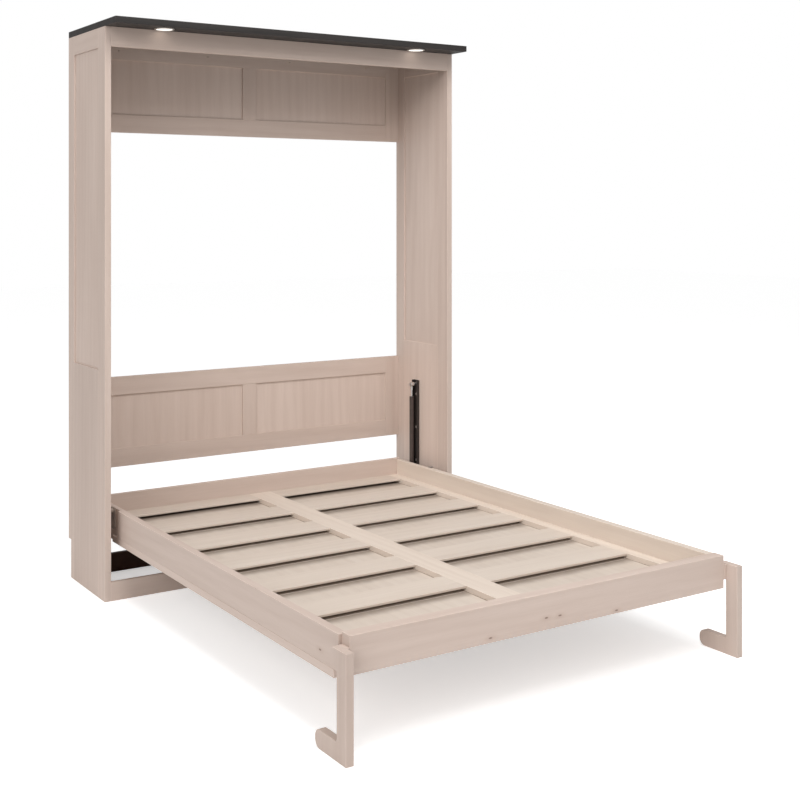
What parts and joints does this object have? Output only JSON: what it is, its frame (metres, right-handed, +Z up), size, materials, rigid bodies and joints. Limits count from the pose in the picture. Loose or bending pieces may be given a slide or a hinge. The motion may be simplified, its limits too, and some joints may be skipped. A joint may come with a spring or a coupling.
{
  "type": "murphy wall bed",
  "caption": "Open-backed wall cabinet with a lit dark top and a slatted bed frame that folds down out of it onto J-shaped swinging legs, with gas springs.",
  "frame": {"origin": "on the floor at the centre of the opened bed's footprint", "axes": "+Z up, -Y into the room towards the foot of the bed, +Y to the wall, +X to the right seen from the foot"},
  "size_m": [1.638, 2.169, 2.2424],
  "materials": {
    "cabinet_wood": "whitewashed knotty wood, satin",
    "field_wood": "whitewashed knotty wood, satin",
    "bed_wood": "whitewashed knotty wood, satin",
    "deck_wood": "pale sanded wood",
    "leg_wood": "whitewashed knotty wood, satin",
    "dark_top": "charcoal stain, satin",
    "dark_stretcher": "espresso stain, satin",
    "black_steel": "black powder coat",
    "taupe_steel": "taupe powder coat",
    "black_tube": "black semi-gloss paint",
    "chrome_rod": "polished",
    "zinc_hardware": "zinc plated",
    "light_trim": "satin nickel",
    "light_lens": "frosted, lit"
  },
  "bodies": {
    "cabinet": {"cabinet_screws": "zinc_hardware", "channel_left": "black_steel", "channel_right": "black_steel", "face_stile_left": "cabinet_wood", "face_stile_right": "cabinet_wood", "header_rail": "cabinet_wood", "kick_board": "cabinet_wood", "light_lens_left": "light_lens", "light_lens_right": "light_lens", "light_ring_left": "light_trim", "light_ring_right": "light_trim", "lower_back_fields": "field_wood", "lower_back_rails": "cabinet_wood", "lower_back_stiles": "cabinet_wood", "pivot_pin_left": "zinc_hardware", "pivot_pin_right": "zinc_hardware", "rear_stretcher": "dark_stretcher", "side_back_stile_left": "cabinet_wood", "side_back_stile_right": "cabinet_wood", "side_field_left": "field_wood", "side_field_right": "field_wood", "side_front_stile_left": "cabinet_wood", "side_front_stile_right": "cabinet_wood", "side_lower_board_left": "cabinet_wood", "side_lower_board_right": "cabinet_wood", "side_top_rail_left": "cabinet_wood", "side_top_rail_right": "cabinet_wood", "spring_studs": "zinc_hardware", "top_board": "dark_top", "upper_back_fields": "field_wood", "upper_back_rails": "cabinet_wood", "upper_back_stiles": "cabinet_wood"},
    "bed": {"bed_bracket_left": "taupe_steel", "bed_bracket_right": "taupe_steel", "bed_face_rails": "bed_wood", "bed_face_stiles": "bed_wood", "bed_rail_left": "bed_wood", "bed_rail_right": "bed_wood", "centre_board": "deck_wood", "deck_panel": "deck_wood", "edge_board_left": "deck_wood", "edge_board_right": "deck_wood", "foot_rail": "bed_wood", "head_rail": "bed_wood", "leg_bolts": "zinc_hardware", "leg_spacers": "leg_wood", "slat_row_1": "deck_wood", "slat_row_2": "deck_wood", "slat_row_3": "deck_wood", "slat_row_4": "deck_wood", "slat_row_5": "deck_wood", "slat_row_6": "deck_wood", "slat_row_7": "deck_wood"},
    "left_leg": {"leg_left": "leg_wood"},
    "left_rod": {"spring_rod_left": "chrome_rod"},
    "left_tube": {"spring_tube_left": "black_tube"},
    "right_leg": {"leg_right": "leg_wood"},
    "right_rod": {"spring_rod_right": "chrome_rod"},
    "right_tube": {"spring_tube_right": "black_tube"}
  },
  "joints": [
    {"name": "bed_tilt", "type": "hinge", "parent": "cabinet", "child": "bed", "pos_m": [0, 0.77805, 0.32], "axis": [-1, 0, 0], "range_deg": [0, 90]},
    {"name": "left_leg_fold", "type": "hinge", "parent": "bed", "child": "left_leg", "pos_m": [-0.7654, -1.01585, 0.283], "axis": [1, 0, 0], "range_deg": [0, 90]},
    {"name": "left_spring_swing", "type": "hinge", "parent": "cabinet", "child": "left_rod", "pos_m": [-0.764, 0.90605, 0.69], "axis": [-1, 0, 0], "range_deg": [0, 14.43]},
    {"name": "left_spring_stroke", "type": "slide", "parent": "left_rod", "child": "left_tube", "axis": [0, 0, -1], "range_m": [0, 0.14429]},
    {"name": "right_leg_fold", "type": "hinge", "parent": "bed", "child": "right_leg", "pos_m": [0.7654, -1.01585, 0.283], "axis": [1, 0, 0], "range_deg": [0, 90]},
    {"name": "right_spring_swing", "type": "hinge", "parent": "cabinet", "child": "right_rod", "pos_m": [0.764, 0.90605, 0.69], "axis": [-1, 0, 0], "range_deg": [0, 14.43]},
    {"name": "right_spring_stroke", "type": "slide", "parent": "right_rod", "child": "right_tube", "axis": [0, 0, -1], "range_m": [0, 0.14429]}
  ],
  "couplings": [
    {"joint": "left_leg_fold", "follows": "bed_tilt", "ratio": 1},
    {"joint": "left_spring_swing", "follows": "bed_tilt", "ratio": 0.16016},
    {"joint": "left_spring_stroke", "follows": "bed_tilt", "m_per_rad": 0.09179},
    {"joint": "right_leg_fold", "follows": "bed_tilt", "ratio": 1},
    {"joint": "right_spring_swing", "follows": "bed_tilt", "ratio": 0.16016},
    {"joint": "right_spring_stroke", "follows": "bed_tilt", "m_per_rad": 0.09179}
  ]
}
